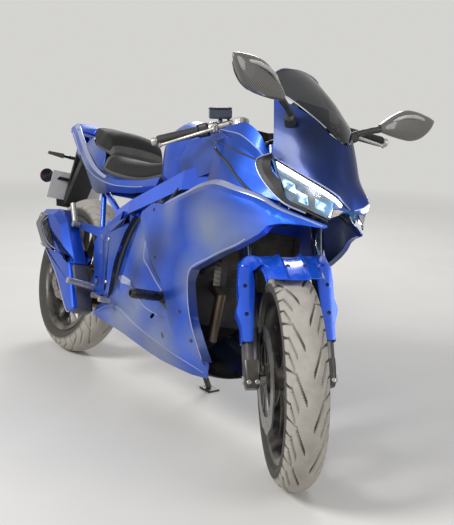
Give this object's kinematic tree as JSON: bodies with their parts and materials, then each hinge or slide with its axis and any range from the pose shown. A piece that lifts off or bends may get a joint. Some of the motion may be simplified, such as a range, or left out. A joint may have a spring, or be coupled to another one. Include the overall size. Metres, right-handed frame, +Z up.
{
  "type": "sport motorcycle",
  "caption": "Fully faired sport motorcycle with clip-on bars, twin headlamps and a short stepped tail, leaning on its side stand with the steering turned right",
  "frame": {"origin": "bottom centre of the parked motorcycle's bounding box, on the ground", "axes": "+X forward along the wheelbase, +Y to the rider's left, +Z up"},
  "size_m": [1.9326, 0.7844, 1.1486],
  "materials": {
    "paint": "satin",
    "blue_cover": "satin",
    "carbon": "gloss",
    "mirror": "polished",
    "screen": "polished",
    "lamp": "polished",
    "red_lens": "gloss",
    "amber_lens": "gloss",
    "tread": "matt",
    "black_metal": "satin",
    "disc_steel": "brushed",
    "alloy": "satin",
    "engine": "matt",
    "steel_black": "satin",
    "rubber": "matt",
    "seat": "matt",
    "plastic": "matt",
    "plate": "matt"
  },
  "bodies": {
    "chassis": {"belly_keel": "paint", "chain": "disc_steel", "cowl_wings": "paint", "crash_bobbins": "rubber", "engine_block": "engine", "exhaust_header": "engine", "fairing_stay": "black_metal", "foot_levers": "alloy", "foot_pegs": "alloy", "footrest_brackets": "black_metal", "footrests": "alloy", "fuel_tank": "paint", "headlamps": "lamp", "instrument_pod": "plastic", "lamp_housing": "plastic", "lower_fairing_left": "paint", "lower_fairing_right": "paint", "main_frame": "black_metal", "mirror_glass": "mirror", "mirrors": "carbon", "muffler": "blue_cover", "nose_cowl": "paint", "number_plate": "plate", "pillion_seat": "seat", "plate_hanger": "plastic", "radiator": "alloy", "rear_axle": "disc_steel", "rear_caliper": "black_metal", "rear_indicators": "amber_lens", "rear_reflector": "red_lens", "rear_shock": "black_metal", "rider_seat": "seat", "side_fairing_left": "paint", "side_fairing_right": "paint", "stand_bracket": "black_metal", "swingarm": "black_metal", "tail_cowl": "paint", "tail_lamp": "red_lens", "windscreen": "screen"},
    "steering": {"fork_feet": "alloy", "fork_tubes": "alloy", "fork_clamps": "black_metal", "front_axle": "disc_steel", "front_mudguard": "paint", "front_caliper": "black_metal", "clip_on_bars": "black_metal", "grips": "rubber", "switch_pods": "plastic", "hand_levers": "alloy", "brake_reservoir": "plastic"},
    "front_wheel": {"front_tyre": "tread", "front_rim": "black_metal", "front_disc": "disc_steel"},
    "rear_wheel": {"rear_tyre": "tread", "rear_rim": "black_metal", "rear_disc": "disc_steel", "rear_sprocket": "disc_steel"},
    "side_stand": {"side_stand": "steel_black"},
    "filler_cap": {"fuel_cap": "alloy"}
  },
  "joints": [
    {"name": "steering", "type": "hinge", "parent": "chassis", "child": "steering", "pos_m": [0.42598, -0.02804, 0.7841], "axis": [-0.4249, 0.2039, 0.882], "range_deg": [0, 62]},
    {"name": "front_wheel", "type": "hinge", "parent": "steering", "child": "front_wheel", "pos_m": [0.70039, -0.16154, 0.29294], "axis": [0.4667, 0.8842, 0.0204], "continuous": true},
    {"name": "rear_wheel", "type": "hinge", "parent": "chassis", "child": "rear_wheel", "pos_m": [-0.66474, -0.14006, 0.2961], "axis": [0.0006, 0.9744, -0.225], "continuous": true},
    {"name": "side_stand", "type": "hinge", "parent": "chassis", "child": "side_stand", "pos_m": [-0.04959, -0.02592, 0.23641], "axis": [0.1126, 0.9516, 0.2858], "range_deg": [0, 100]},
    {"name": "filler_cap", "type": "hinge", "parent": "chassis", "child": "filler_cap", "pos_m": [0.13067, 0.00424, 0.92317], "axis": [0.0006, 0.9744, -0.225], "range_deg": [0, 80]}
  ]
}
